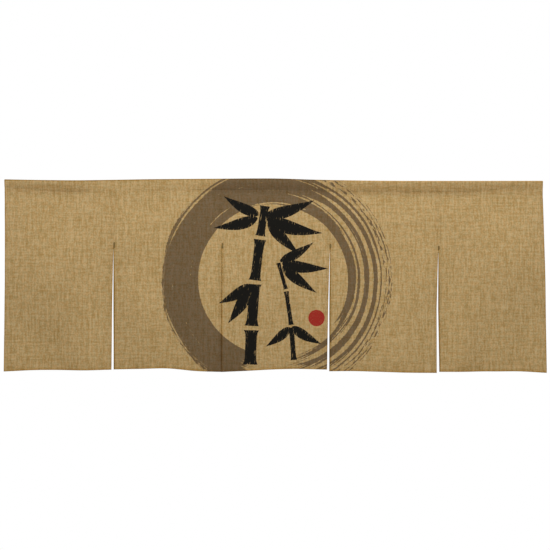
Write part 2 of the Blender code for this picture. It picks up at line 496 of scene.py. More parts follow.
    def panel_depth(self, panel: int, share: float, x: float, z: float) -> float:
        """Finds how far back a panel stands at a point.

        Args:
            panel: The panel's place from the left, from 0.
            share: The point's share of the panel's width.
            x: The point's place across the cloth.
            z: The point's height.

        Returns:
            The depth of the cloth's middle plane.
        """
        foot = FEET[panel]
        left = foot.left_swing * ease(self.below_split(LINES[panel], z)) * bell(share / 0.5)
        right = foot.right_swing * ease(self.below_split(LINES[panel + 1], z)) * bell((1 - share) / 0.5)
        return self.drape(x, z) + left + right + self.cockle(x, z) - self.drawn(x, z)

    def pocket_wall(self, x: float, share: float, front: bool) -> Pair:
        """Finds a point on the pocket's outer face.

        Args:
            x: The station.
            share: The share of the pocket's height, from its top fold down.
            front: Whether the point lies on the front wall.

        Returns:
            The point's depth and height.
        """
        z = -self.crest("drop", x) - self.pocket_depth * share
        rounded = math.sqrt(max(0.0, 1 - (1 - min(1.0, share / self.fold_turn)) ** 2))
        uneven = (self.front_drift if front else self.back_drift).at(x, z) * math.sin(math.pi * share)
        foot = self.face + self.forward(x)
        if front:
            pinch = self.pinch(x)
            power = mix(*self.hollow_power_loose_tight, clamp(pinch))
            hollow = min(1.0, share / min(1.0, self.pinch_reach(x))) ** power
            return -(foot + mix(*self.belly_loose_tight, pinch) * (1 - hollow)) * rounded - uneven, z
        swell = (self.crest("back_belly", x) - self.back_top) * math.sin(math.pi * share**self.back_power)
        return mix(self.back_top, self.back_foot - foot, share) * rounded + swell + uneven, z


SHAPE = HangingShape()


@dataclass
class Skin:
    """A closed mesh in the making: its points, its faces, how each point takes the print and how much shade is
    painted on it.
    """

    points: list[Point] = field(default_factory=list)
    faces: list[tuple[int, ...]] = field(default_factory=list)
    print_strength: list[float] = field(default_factory=list)
    painted_shade: list[float] = field(default_factory=list)

    def add(self, point: Point, print_strength: float = 0.0, painted_shade: float = 0.0) -> int:
        """Adds a point.

        Args:
            point: Where it lies.
            print_strength: How much of the print's ink reaches it.
            painted_shade: How much shade is painted on it: the darker tone along folded edges and under the
                pocket's stitching.

        Returns:
            The point's number.
        """
        self.points.append(point)
        self.print_strength.append(print_strength)
        self.painted_shade.append(painted_shade)
        return len(self.points) - 1

    def bridge(self, one: Sequence[int], other: Sequence[int], closed: bool = True) -> None:
        """Adds faces between two rows of points.

        Args:
            one: The first row's point numbers.
            other: The second row's, as many as the first's.
            closed: Whether each row is a loop.
        """
        count = len(one)
        for i in range(count if closed else count - 1):
            j = (i + 1) % count
            self.faces.append((one[i], one[j], other[j], other[i]))

    def close_sheet(self, fronts: Rows, backs: Rows) -> None:
        """Adds the faces of a sheet: its front, its back and the rim between them.

        Args:
            fronts: The front's rows of point numbers.
            backs: The back's, in the same places.
        """
        rims = []
        for grid in (fronts, backs):
            for upper, lower in zip(grid, grid[1:]):
                self.bridge(upper, lower, closed=False)
            right, left = [row[-1] for row in grid[1:-1]], [row[0] for row in grid[-2:0:-1]]
            rims.append(grid[0] + right + grid[-1][::-1] + left)
        self.bridge(*rims)

    def to_piece(self, name: str, material: bpy.types.Material) -> bpy.types.Object:
        """Makes the piece that rides with the curtain.

        Args:
            name: The piece's name.
            material: Its finish.

        Returns:
            The new object.
        """
        mesh = bpy.data.meshes.new(name)
        mesh.from_pydata(self.points, [], self.faces)
        # The painted shade goes to the material as a point attribute, beside the print's strength
        for label, values in (("print_strength", self.print_strength), ("painted_shade", self.painted_shade)):
            mesh.attributes.new(label, "FLOAT", "POINT").data.foreach_set("value", values)
        shell = bmesh.new()
        shell.from_mesh(mesh)
        bmesh.ops.recalc_face_normals(shell, faces=shell.faces[:])
        shell.to_mesh(mesh)
        shell.free()
        mesh.shade_smooth()
        mesh.materials.append(material)
        piece = bpy.data.objects.new(name, mesh)
        bpy.context.scene.collection.objects.link(piece)
        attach(piece, "root")
        return piece


Operand = Union["Shade", float, Point]


def arithmetic(operation: str, swapped: bool = False) -> Callable[..., "Shade"]:
    """Makes a method of Shade for one operation of the Math and Vector Math nodes.

    Args:
        operation: The nodes' name for it.
        swapped: Whether the shade comes after the other value.

    Returns:
        The method.
    """

    def work(shade: "Shade", *others: Operand) -> "Shade":
        """Returns the operation's result."""
        return shade.maths(operation, *others, shade) if swapped else shade.maths(operation, shade, *others)

    return work


class Shade:
    """A node's output that arithmetic can be written with: a number, a vector or a colour."""

    def __init__(self, graph: "Graph", socket: bpy.types.NodeSocket) -> None:
        """Keeps the graph and the output."""
        self.graph = graph
        self.socket = socket

    def _wide(self, value: Operand) -> bool:
        """Returns whether a value is a vector or a colour."""
        return isinstance(value, tuple) or (isinstance(value, Shade) and value.socket.type != "VALUE")

    def maths(self, operation: str, *values: Operand) -> "Shade":
        """Adds a Math node, or a Vector Math node where a value is a vector or a colour.

        Args:
            operation: The node's operation.
            values: What it works on.

        Returns:
            The result.
        """
        wide = any(self._wide(value) for value in values)
        kind = "ShaderNodeVectorMath" if wide else "ShaderNodeMath"
        fitted = [(v,) * 3 if wide and isinstance(v, (int, float)) else v for v in values]
        return self.graph.node(kind, {"operation": operation}, dict(enumerate(fitted)))

    __add__, __radd__ = arithmetic("ADD"), arithmetic("ADD", swapped=True)
    __sub__, __rsub__ = arithmetic("SUBTRACT"), arithmetic("SUBTRACT", swapped=True)
    __mul__, __rmul__ = arithmetic("MULTIPLY"), arithmetic("MULTIPLY", swapped=True)
    __truediv__, __pow__, __abs__ = arithmetic("DIVIDE"), arithmetic("POWER"), arithmetic("ABSOLUTE")
    sine, fraction, root = arithmetic("SINE"), arithmetic("FRACT"), arithmetic("SQRT")
    angle_over, most, least = arithmetic("ARCTAN2"), arithmetic("MAXIMUM"), arithmetic("MINIMUM")

    def held(self) -> "Shade":
        """Returns the value kept between 0 and 1."""
        return self.least(1.0).most(0.0)

    def rise(self, low: float, high: float) -> "Shade":
        """Returns a smooth step from 0 at low to 1 at high."""
        return self.spread(low, high, 0.0, 1.0, "SMOOTHSTEP")

    def spread(self, low: float, high: float, start: float, end: float, kind: str = "LINEAR") -> "Shade":
        """Maps a range to another.

        Args:
            low: The value that gives start, as does anything below it.
            high: The value that gives end, as does anything above it.
            start: The result at low.
            end: The result at high.
            kind: The node's way of going from one to the other.

        Returns:
            The mapped value.
        """
        inputs = {"Value": self, "From Min": low, "From Max": high, "To Min": start, "To Max": end}
        return self.graph.node("ShaderNodeMapRange", {"interpolation_type": kind, "clamp": True}, inputs)


class Graph:
    """A node tree."""

    def __init__(self, owner: bpy.types.Material | bpy.types.World) -> None:
        """Empties the owner's tree.

        Args:
            owner: What the tree belongs to.
        """
        owner.use_nodes = True
        self.tree = owner.node_tree
        self.tree.nodes.clear()

    def add(self, kind: str, settings: Mapping[str, Any], inputs: Mapping[Any, Operand]) -> bpy.types.Node:
        """Adds a node.

        Args:
            kind: The node's type.
            settings: Its settings, which are set first. stops are a ramp's (position, colour) pairs.
            inputs: A value or a link for each socket, by name or place.

        Returns:
            The node.
        """
        made = self.tree.nodes.new(kind)
        for label, setting in settings.items():
            if label == "stops":
                self._stops(made.color_ramp, setting)
            else:
                setattr(made, label, setting)
        for label, value in inputs.items():
            if isinstance(value, Shade):
                self.tree.links.new(value.socket, made.inputs[label])
            else:
                made.inputs[label].default_value = value
        return made

    def _stops(self, ramp: bpy.types.ColorRamp, stops: Sequence[tuple[float, Point]]) -> None:
        """Fills a colour ramp.

        Args:
            ramp: The ramp.
            stops: Its (position, colour) pairs.
        """
        while len(ramp.elements) < len(stops):
            ramp.elements.new(1.0)
        for element, (position, colour) in zip(ramp.elements, stops):
            element.position = position
            element.color = (*colour, 1.0)

    def node(
        self, kind: str, settings: Mapping[str, Any], inputs: Mapping[Any, Operand], output: Any = 0
    ) -> Shade:
        """Adds a node for one of its outputs.

        Args:
            kind: The node's type.
            settings: Its settings.
            inputs: A value or a link for each socket, by name or place.
            output: The output to return, by name or place.

        Returns:
            The output.
        """
        return Shade(self, self.add(kind, settings, inputs).outputs[output])


class Finish(Graph):
    """The node tree of one material, and the place on the piece that it dresses: x, y and z in metres."""

    def __init__(self, name: str) -> None:
        """Starts a material that reads its place.

        Args:
            name: The material's name.
        """
        self.material = bpy.data.materials.new(name)
        super().__init__(self.material)
        place = self.node("ShaderNodeTexCoord", {}, {}, "Object")
        split = self.add("ShaderNodeSeparateXYZ", {}, {0: place})
        self.x, self.y, self.z = (Shade(self, socket) for socket in split.outputs)

    def noise(self, x: Operand, y: Operand, z: Operand, detail: float = 2.0, roughness: float = 0.5) -> Shade:
        """Adds soft noise.

        Args:
            x: First coordinate, already scaled.
            y: Second coordinate, already scaled.
            z: Third coordinate, already scaled.
            detail: How many finer layers it has.
            roughness: How strong those are.

        Returns:
            The noise, 0 to 1 and mostly near a half.
        """
        spot = self.node("ShaderNodeCombineXYZ", {}, {0: x, 1: y, 2: z})
        inputs = {"Vector": spot, "Scale": 1.0, "Detail": detail, "Roughness": roughness}
        return self.node("ShaderNodeTexNoise", {"noise_dimensions": "3D"}, inputs)

    def mottle(self, across: float, down: float, seed: float, detail: float = 2.0) -> Shade:
        """Adds soft noise over the cloth.

        Args:
            across: How often it changes in a metre across.
            down: How often it changes in a metre down.
            seed: Sets this noise apart from another.
            detail: How many finer layers it has.

        Returns:
            The noise, 0 to 1 and mostly near a half.
        """
        return self.noise(self.x * across, seed, self.z * down, detail)

    def attribute(self, label: str) -> Shade:
        """Returns a number that each point of the mesh holds."""
        return self.node("ShaderNodeAttribute", {"attribute_name": label}, {}, "Fac")

    def blend(self, factor: Operand, low: Operand, high: Operand) -> Shade:
        """Mixes two colours.

        Args:
            factor: 0 for the first colour, 1 for the second.
            low: The first colour.
            high: The second colour.

        Returns:
            The mixed colour.
        """
        low = (*low, 1.0) if isinstance(low, tuple) else low
        high = (*high, 1.0) if isinstance(high, tuple) else high
        return self.node("ShaderNodeMix", {"data_type": "RGBA"}, {0: factor, 6: low, 7: high}, 2)

    def close(
        self, varying: Mapping[str, Shade], fixed: Mapping[str, Any], height: Shade, bump: Pair
    ) -> bpy.types.Material:
        """Ends the tree in a Principled shader.

        Args:
            varying: What changes over the surface, by socket.
            fixed: What doesn't, by socket.
            height: The relief.
            bump: The relief's strength and its height in metres.

        Returns:
            The finished material.
        """
        strength, distance = bump
        relief = {"Strength": strength, "Distance": distance, "Height": height}
        sockets = {**fixed, **varying, "Normal": self.node("ShaderNodeBump", {}, relief)}
        shader = self.node("ShaderNodeBsdfPrincipled", {}, sockets)
        self.add("ShaderNodeOutputMaterial", {}, {"Surface": shader})
        return self.material


@dataclass(frozen=True)
class Leaf:
    """One brushed leaf of the print: where its stalk is, where it points, and its size."""

    x: float
    z: float
    heading: float
    length: float
    width: float
    bend: float

    def depth(self, graph: Finish) -> Shade:
        """Finds how far inside this leaf each point lies.

        Args:
            graph: The material's tree.

        Returns:
            The distance in metres, less than 0 outside.
        """
        dx, dz = graph.x - self.x, graph.z - self.z
        run, rise = math.cos(math.radians(self.heading)), math.sin(math.radians(self.heading))
        along = (dx * (run / self.length) + dz * (rise / self.length)).held()
        bowed = dx * rise - dz * run - along * (1 - along) * (self.bend * self.length * 1.6)
        swell = (along**0.62 * math.pi).sine() * (self.width * 0.5)
        return swell - abs(bowed)


@dataclass(frozen=True)
class Cane:
    """One length of brushed cane between two joints of the print, a little flared at both."""

    foot_x: float
    foot_z: float
    top_x: float
    top_z: float
    width: float

    def depth(self, graph: Finish) -> Shade:
        """Finds how far inside this length of cane each point lies.

        Args:
            graph: The material's tree.

        Returns:
            The distance in metres, less than 0 outside.
        """
        dx, dz = graph.x - self.foot_x, graph.z - self.foot_z
        length = math.hypot(self.top_x - self.foot_x, self.top_z - self.foot_z)
        run, rise = (self.top_x - self.foot_x) / length, (self.top_z - self.foot_z) / length
        middle = abs((dx * run + dz * rise) / length * 2 - 1)
        flared = middle**6 * (self.width * 0.16) + self.width * 0.42
        ends = (1 - middle) * (length * 0.5)
        return (flared - abs(dx * rise - dz * run)).least(ends)


@dataclass(frozen=True)
class BambooMotif:
    """The black print at mid-width: two canes and their leaves, laid down with a loaded brush."""

    strokes: tuple[Cane | Leaf, ...] = (
        Cane(-0.0740, -0.5880, -0.0700, -0.4780, 0.044),
        Cane(-0.0690, -0.4660, -0.0600, -0.3330, 0.041),
        Cane(-0.0590, -0.3220, -0.0430, -0.1920, 0.037),
        Cane(-0.0420, -0.1820, -0.0270, -0.0860, 0.031),
        Cane(0.0640, -0.5740, 0.0560, -0.4700, 0.020),
        Cane(0.0555, -0.4630, 0.0400, -0.3560, 0.017),
        Cane(0.0390, -0.3500, 0.0150, -0.2660, 0.015),
        Leaf(-0.030, -0.120, 18, 0.170, 0.040, 0.10),
        Leaf(-0.022, -0.128, -14, 0.185, 0.046, 0.12),
        Leaf(-0.018, -0.135, -46, 0.150, 0.038, 0.08),
        Leaf(-0.045, -0.115, 152, 0.130, 0.034, -0.10),
        Leaf(-0.050, -0.125, -168, 0.145, 0.038, -0.12),
        Leaf(-0.072, -0.335, -150, 0.120, 0.036, -0.10),
        Leaf(-0.074, -0.345, -122, 0.135, 0.040, -0.08),
        Leaf(0.020, -0.262, 30, 0.125, 0.032, 0.10),
        Leaf(0.026, -0.268, -6, 0.150, 0.038, 0.10),
        Leaf(0.028, -0.276, -38, 0.140, 0.036, 0.08),
        Leaf(0.058, -0.468, -30, 0.110, 0.032, 0.10),
        Leaf(0.052, -0.470, -142, 0.100, 0.030, -0.10),
    )
    rag_depth: float = 0.0030
    soft_edge: float = 0.0014
    dry_rim: Pair = (0.004, 0.011)

    def ink(self, graph: Finish) -> Shade:
        """Draws the motif.

        Args:
            graph: The material's tree.

        Returns:
            How much black ink lies on each point, 0 to 1.
        """
        inside = self.strokes[0].depth(graph)
        for stroke in self.strokes[1:]:
            inside = inside.most(stroke.depth(graph))
        rag = (graph.mottle(260, 260, 4.0) - 0.5) * self.rag_depth
        streak = graph.noise(graph.x * 420 - graph.z * 60, 9.0, graph.z * 34 + graph.x * 12, 3.0, 0.6)
        dry = (0.41 - streak).rise(0.0, 0.05) * (1 - inside.rise(*self.dry_rim)) * 0.9
        return (inside + rag).rise(0.0, self.soft_edge) * (1 - dry)


@dataclass(frozen=True)
class Stroke:
    """The ring's brushstroke at each point: the point's place in it, and its unevenness there.

    share is the place across the band, 0 at the inner edge and 1 at the outer. turn is the place along the
    stroke, 0 at its start and 1 a full turn later. left and right are 1 on those sides of the ring.
    """

    share: Shade
    turn: Shade
    broad: Shade
    narrow: Shade
    speck: Shade
    fleck: Shade
    left: Shade
    right: Shade


@dataclass(frozen=True)
class BareStreak:
    """A streak of the ring that the brush left bare: its places and half its width, as a Stroke has them."""

    share_start: float
    share_end: float
    turn_start: float
    turn_end: float
    half: float
    opening: float = 0.18
    closing: float = 0.12
    taper: float = 0.012

    def depth(self, stroke: Stroke) -> Shade:
        """Finds how far inside this streak each point lies.

        Args:
            stroke: The brushstroke.

        Returns:
            The distance across the band, less than 0 outside.
        """
        turn, length = stroke.turn, self.turn_end - self.turn_start
        middle = turn.spread(self.turn_start, self.turn_end, self.share_start, self.share_end)
        opened = self.turn_start + self.opening * length
        begun = turn.spread(self.turn_start, opened, -self.taper, self.half, "SMOOTHSTEP")
        closing = self.turn_end - self.closing * length
        ended = turn.spread(closing, self.turn_end, 0.0, self.half + self.taper)
        return begun - ended - abs(stroke.share - middle)


@dataclass(frozen=True)
class BrushRing:
    """The broad brushed ring of the print: solid on its left, dry and streaked on its right."""

    x: float = 0.0
    z: float = -0.3190
    inner: float = 0.2375
    band: float = 0.1110
    start: float = -1.830
    end: float = 0.912
    sway: float = 0.009
    streaks: tuple[BareStreak, ...] = (
        BareStreak(0.34, 0.170, 0.455, 0.82, 0.026),
        BareStreak(0.40, 0.350, 0.500, 0.93, 0.066),
        BareStreak(0.63, 0.660, 0.520, 0.92, 0.060),
        BareStreak(0.82, 0.890, 0.475, 0.95, 0.040),
        BareStreak(0.95, 1.020, 0.445, 0.97, 0.036),
        BareStreak(0.04, 0.000, 0.765, 1.20, 0.105),
        BareStreak(0.975, 1.000, 0.240, 0.430, 0.022),
        BareStreak(1.060, 1.085, 0.290, 0.440, 0.018),
        BareStreak(0.230, 0.255, 0.305, 0.375, 0.011),
        BareStreak(0.030, 0.045, 0.400, 0.540, 0.018),
        BareStreak(0.225, 0.225, 0.580, 0.860, 0.017),
        BareStreak(0.490, 0.500, 0.560, 0.690, 0.013),
        BareStreak(0.740, 0.760, 0.440, 0.540, 0.014),
        BareStreak(1.035, 1.024, 0.088, 0.174, 0.019),
        BareStreak(1.110, 1.090, 0.450, 0.930, 0.026),
        BareStreak(1.195, 1.180, 0.480, 0.900, 0.022),
        BareStreak(0.290, 0.275, 0.780, 0.950, 0.022),
    )

    def stroke(self, graph: Finish) -> Stroke:
        """Reads the brushstroke.

        Args:
            graph: The material's tree.

        Returns:
            The brushstroke at each point.
        """
        dx, dz = graph.x - self.x, graph.z - self.z
        sway = (graph.noise(dx * 5, 1.0, dz * 5, 1.0) - 0.5) * self.sway
        share = ((dx * dx + dz * dz).root() + sway - self.inner) / self.band
        turn = ((self.start - dz.angle_over(dx)) / (2 * math.pi)).fraction()
        return Stroke(
            share,
            turn,
            broad=graph.noise(share * 9.0, 2.0, turn * 6.0, 2.0) - 0.5,
            narrow=graph.noise(share * 30.0, 5.0, turn * 12.0, 2.0) - 0.5,
            speck=graph.noise(share * 36.0, 8.0, turn * 190.0, 2.0, 0.6) - 0.5,
            fleck=graph.noise(share * 24.0, 11.0, turn * 105.0, 1.0) - 0.5,
            left=1 - turn.rise(0.230, 0.280),
            right=turn.rise(0.425, 0.50),
        )

    def bristles(self, stroke: Stroke) -> Shade:
        """Streaks the ink as the brush's bristles leave it.

        Args:
            stroke: The brushstroke.

        Returns:
            How much ink the bristles lay, 0 to 1.
        """
        bare = self.streaks[0].depth(stroke)
        for streak in self.streaks[1:]:
            bare = bare.most(streak.depth(stroke))
        bare = bare + stroke.speck * 0.058 + stroke.narrow * 0.040 + stroke.broad * 0.085
        dryness = (stroke.turn + stroke.share * 0.12).rise(0.60, 1.08)
        bristled = stroke.broad * 0.5 + stroke.narrow * 0.6 + stroke.speck * 0.24 + 0.36 - dryness * 0.325
        frayed = stroke.share.rise(0.93, 1.06) * (stroke.right + stroke.left * 0.40 + 0.15)
        frayed = frayed.least(1.0)
        dashed = (stroke.fleck * 1.5 + stroke.narrow * 0.5 + 0.13 - frayed * 0.13).rise(0.0, 0.03)
        return (1 - bare.rise(0.0, 0.010)) * bristled.rise(0.0, 0.02) * dashed.most(1 - frayed)

    def outer_edge(self, stroke: Stroke) -> Shade:
        """Ends the band on its outside.

        Args:
            stroke: The brushstroke.

        Returns:
            1 inside the outer edge, 0 beyond it.
        """
        low_left = (1 - stroke.turn.rise(0.165, 0.180)) * 0.045 + (1 - stroke.turn.rise(0.075, 0.095)) * 0.022
        wide = stroke.right * 0.15 + (1 - stroke.left) * 0.08 + stroke.left * 0.04
        limit = wide + low_left + 1.005
        return (limit - stroke.share + stroke.speck * 0.11 + stroke.narrow * 0.05).rise(0.0, 0.014)

    def ink(self, graph: Finish) -> Shade:
        """Draws the ring.

        Args:
            graph: The material's tree.

        Returns:
            How much of the ring's thin ink lies on each point, 0 to 1.
        """
        stroke = self.stroke(graph)
        share, turn, narrow = stroke.share, stroke.turn, stroke.narrow
        inner = (share + stroke.right * 0.03 + stroke.speck * 0.035).rise(0.0, 0.014)
        head = (turn - (narrow + 0.10) * 0.055).rise(0.0, 0.004)
        tail = (self.end - turn + (stroke.broad + narrow) * 0.12 + (0.5 - share) * 0.05).rise(0.0, 0.006)
        body = self.bristles(stroke) * self.outer_edge(stroke) * inner * head * tail
        spots = (stroke.speck - 0.155).rise(0.0, 0.03) * share.rise(-0.13, -0.03) * (1 - stroke.right) * 0.8
        return body.most(spots * inner.spread(0.0, 1.0, 1.0, 0.0) * head)


@dataclass(frozen=True)
class RedDot:
    """The small plain red dot of the print."""

    x: float = 0.1355
    z: float = -0.4405
    radius: float = 0.0265
    rag_depth: float = 0.0035
    soft_edge: float = 0.0012

    def ink(self, graph: Finish) -> Shade:
        """Draws the dot.

        Args:
            graph: The material's tree.

        Returns:
            How much red ink lies on each point, 0 to 1.
        """
        dx, dz = graph.x - self.x, graph.z - self.z
        rag = (graph.noise(dx * 150, 6.0, dz * 150, 2.0) - 0.5) * self.rag_depth
        patchy = graph.noise(dx * 420, 7.0, dz * 420, 2.0).rise(0.30, 0.42) * 0.35 + 0.65
        return (self.radius - (dx * dx + dz * dz).root() + rag).rise(0.0, self.soft_edge) * patchy


@dataclass(frozen=True)
class BrushedPrint:
    """The curtain's print: the brushed ring in thin ink, and over it the red dot and the black bamboo."""

    ring: BrushRing = BrushRing()
    dot: RedDot = RedDot()
    bamboo: BambooMotif = BambooMotif()
    thin_ink: Point = (0.325, 0.312, 0.358)
    black_ink: Point = (0.0062, 0.0056, 0.0040)
    red_ink: Point = (0.300, 0.011, 0.009)

    def over(self, graph: Finish, colour: Shade, tone: Shade) -> Shade:
        """Prints on a colour.

        Args:
            graph: The material's tree.
            colour: What it prints on.
            tone: The yarns' own tone, which the ink follows a little.

        Returns:
            The printed colour.
        """
        strength = graph.attribute("print_strength")
        taken = strength * (tone * 0.08 + 0.92)
        colour = colour * graph.blend(self.ring.ink(graph) * taken, (1.0, 1.0, 1.0), self.thin_ink)
        colour = graph.blend(self.dot.ink(graph) * taken, colour, self.red_ink)
        return graph.blend(self.bamboo.ink(graph) * strength, colour, self.black_ink)


@dataclass(frozen=True)
class Slub:
    """One layer of the yarns' uneven tone: how often it changes in a metre, its seed and its weight."""

    across: float
    down: float
    seed: float
    weight: float


@dataclass(frozen=True)
class HempCloth:
    """Slubby plain-woven cloth in undyed hemp tones, bare or printed."""

    dark: Point = (0.306, 0.193, 0.062)
    light: Point = (0.502, 0.354, 0.172)
    warm_tint: Point = (1.040, 0.983, 0.93)
    cool_tint: Point = (0.968, 1.018, 1.06)
    yarn: float = 0.0013
    slub_layers: tuple[Slub, ...] = (
        Slub(210, 210, 1.0, 0.26),
        Slub(200, 36, 3.0, 0.26),
        Slub(38, 200, 5.0, 0.17),
        Slub(120, 9, 6.0, 0.18),
        Slub(9, 150, 7.0, 0.13),
    )
    # Tints for the painted shade, by its amount: shade under the pocket, warm fold shade along edges, dark shadow
    # at the slits
    painted_shade_tints: tuple[tuple[float, Point], ...] = (
        (0.0, (1.0, 1.0, 1.0)),
        (0.12, (0.91, 0.885, 0.86)),
        (0.35, (0.92, 0.80, 0.56)),
        (0.60, (0.70, 0.64, 0.45)),
        (1.0, (0.47, 0.37, 0.14)),
    )
    bump: Pair = (0.55, 0.00045)

    def slubs(self, graph: Finish) -> Shade:
        """Varies the yarns' tone, as in cloth of uneven yarns.

        Args:
            graph: The material's tree.

        Returns:
            The tone, 0 dark to 1 light.
        """
        layers = [graph.mottle(slub.across, slub.down, slub.seed, 0.0) * slub.weight for slub in self.slub_layers]
        tone = layers[0]
        for layer in layers[1:]:
            tone = tone + layer
        return tone.rise(0.28, 0.72)

    def weave(self, graph: Finish) -> Shade:
        """Weaves the yarns over and under each other.

        Args:
            graph: The material's tree.

        Returns:
            The yarns' height, 0 in the gaps to about 1 on top.
        """
        wander = (graph.mottle(130, 130, 12.0, 1.0) - 0.5) * 1.1
        warp = (graph.x * (math.pi / self.yarn) + wander).sine()
        weft = (graph.z * (math.pi / self.yarn) + wander).sine()
        over = warp * weft * 0.5
        return (abs(warp) + over).most(abs(weft) - over)

    def material(self, name: str, printed: bool) -> bpy.types.Material:
        """Makes the cloth's material.

        Args:
            name: The material's name.
            printed: Whether the cloth carries the print.

        Returns:
            The material.
        """
        graph = Finish(name)
        tone, weave = self.slubs(graph), self.weave(graph)
        hue = graph.mottle(130, 95, 21.0, 1.0).rise(0.35, 0.65)
        colour = graph.blend(tone, self.dark, self.light) * graph.blend(hue, self.warm_tint, self.cool_tint)
        # Darkens the cloth by the shade painted along its folded edges and under the pocket's stitching
        edge = graph.attribute("painted_shade")
        shade_tint = graph.node("ShaderNodeValToRGB", {"stops": self.painted_shade_tints}, {0: edge})
        colour = colour * (weave * 0.20 + 0.84) * shade_tint
        if printed:
            colour = BrushedPrint().over(graph, colour, tone)
        varying = {"Base Color": colour, "Roughness": 0.93 - tone * 0.10}
        fixed = {"Specular IOR Level": 0.10, "Sheen Weight": 0.02, "Sheen Roughness": 0.6}
        return graph.close(varying, fixed, weave * 0.62 + tone * 0.38, self.bump)


@dataclass(frozen=True)
class SewingThread:
    """Twisted sewing thread."""

    colour: Point
    highlight: Point
    twist: float = 0.0011
    bump: Pair = (0.5, 0.00012)

    def material(self, name: str, printed: bool) -> bpy.types.Material:
        """Makes the thread's material.

        Args:
            name: The material's name.
            printed: Whether the print runs over the stitches.

        Returns:
            The material.
        """
        graph = Finish(name)
        slant = graph.x + graph.z * 0.8 + graph.y * 0.6
        ply = (slant * (2 * math.pi / self.twist)).sine() * 0.5 + 0.5
        wear = graph.mottle(210, 210, 2.0)
        colour = graph.blend((ply * 0.5 + wear * 0.5).rise(0.2, 0.8), self.colour, self.highlight)
        if printed:
            colour = BrushedPrint().over(graph, colour, wear)
        varying = {"Base Color": colour, "Roughness": wear * 0.15 + 0.62}
        return graph.close(varying, {"Specular IOR Level": 0.20, "Sheen Weight": 0.05}, ply, self.bump)


@dataclass(frozen=True)
class PalePaint:
    """The studio floor's matt pale paint."""

    colour: Point = (0.80, 0.80, 0.79)
    shade: float = 0.97
    bump: Pair = (0.05, 0.001)

    def material(self, name: str) -> bpy.types.Material:
        """Makes the floor's material.

        Args:
            name: The material's name.

        Returns:
            The material.
        """
        graph = Finish(name)
        mottle = graph.noise(graph.x * 3.0, graph.y * 3.0, 0.0, 3.0)
        colour = graph.blend(mottle, self.colour, tuple(self.shade * part for part in self.colour))
        return graph.close({"Base Color": colour}, {"Roughness": 0.9}, mottle, self.bump)


@dataclass(frozen=True)
class Stitching:
    """A row of short straight stitches.

    profile gives each stitch's rings along it: the share of its length, how far the thread's middle lifts off
    the cloth and how thick it is, in shares of its radius.
    """

    material: bpy.types.Material
    length: float = 0.0027
    gap: float = 0.0011
    radius: float = 0.00021
    slant: float = 0.00012
    sides: int = 5
    profile: tuple[Point, ...] = (
        (0.0, -0.6, 0.55),
        (0.14, 0.35, 0.95),
        (0.5, 0.62, 1.0),
        (0.86, 0.35, 0.95),
        (1.0, -0.6, 0.55),
    )

    def both(self, skin: Skin, front: Sequence[Vector], back: Sequence[Vector]) -> None:
        """Lays stitches on the front of the cloth, which the print reaches, and on its back.

        Args:
            skin: The mesh in the making.
            front: The path on the front.
            back: The path on the back.
        """
        self.run(skin, front, FORWARD, 1.0)
        self.run(skin, back, BACKWARD, 0.0)

    def run(self, skin: Skin, path: Sequence[Vector], out: Vector, printed: float) -> None:
        """Lays stitches along a path.

        Args:
            skin: The mesh in the making.
            path: Points on the cloth's surface.
            out: The direction away from the cloth.
            printed: How much of the print's ink reaches them.
        """
        ends = self.running_sum((b - a).length for a, b in zip(path, path[1:]))
        count = int(ends[-1] / (self.length + self.gap))
        for k in range(count):
            start = (k + 0.5) * ends[-1] / count - self.length / 2
            a, b = self.at(path, ends, start), self.at(path, ends, start + self.length)
            self.stitch(skin, a, b, out, k, printed)

    def running_sum(self, spans: Iterable[float]) -> list[float]:
        """Adds up a path's lengths.

        Args:
            spans: The lengths between its points.

        Returns:
            The distance along the path at each point.
        """
        total, sums = 0.0, [0.0]
        for span in spans:
            total += span
            sums.append(total)
        return sums

    def at(self, path: Sequence[Vector], ends: Sequence[float], distance: float) -> Vector:
        """Finds a point along a path.

        Args:
            path: The path's points, about evenly spaced.
            ends: The distance along the path at each point.
            distance: How far along the path to go.

        Returns:
            The point there.
        """
        index = min(len(path) - 2, max(0, int(distance / ends[-1] * (len(path) - 1))))
        while index > 0 and ends[index] > distance:
            index -= 1
        while index < len(path) - 2 and ends[index + 1] < distance:
            index += 1
        share = clamp((distance - ends[index]) / max(1e-9, ends[index + 1] - ends[index]))
        return path[index].lerp(path[index + 1], share)

    def stitch(self, skin: Skin, a: Vector, b: Vector, out: Vector, k: int, printed: float) -> None:
        """Adds one stitch: a thread that comes up at a, lies on the cloth and goes down at b.

        Args:
            skin: The mesh in the making.
            a: Where it comes up.
            b: Where it goes down.
            out: The direction away from the cloth.
            k: The stitch's number, which varies its slant a little.
            printed: How much of the print's ink reaches it.
        """
        ahead = (b - a).normalized()
        aside = ahead.cross(out).normalized()
        slant = aside * (self.slant * math.sin(k * 2.3))
        rings = []
        for share, lift, wide in self.profile:
            centre = a.lerp(b, share) + out * (self.radius * lift) + slant * (share - 0.5)
            ring = []
            for i in range(self.sides):
                turn = 2 * math.pi * i / self.sides
                spot = centre + (aside * math.cos(turn) + out * math.sin(turn)) * (self.radius * wide)
                ring.append(skin.add(tuple(spot), printed))
            rings.append(ring)
        for one, other in zip(rings, rings[1:]):
            skin.bridge(one, other)
        skin.faces += [tuple(rings[0]), tuple(rings[-1])]


@dataclass(frozen=True)
class PaintedEdgeShade:
    """Shade painted along an edge: how dark it makes the cloth beside it, and how far in from the edge."""

    tone: float
    reach: float

    def at(self, inset: float) -> float:
        """Returns the painted shade at a distance from the edge."""
        return self.tone * edge_fade(inset, self.reach)


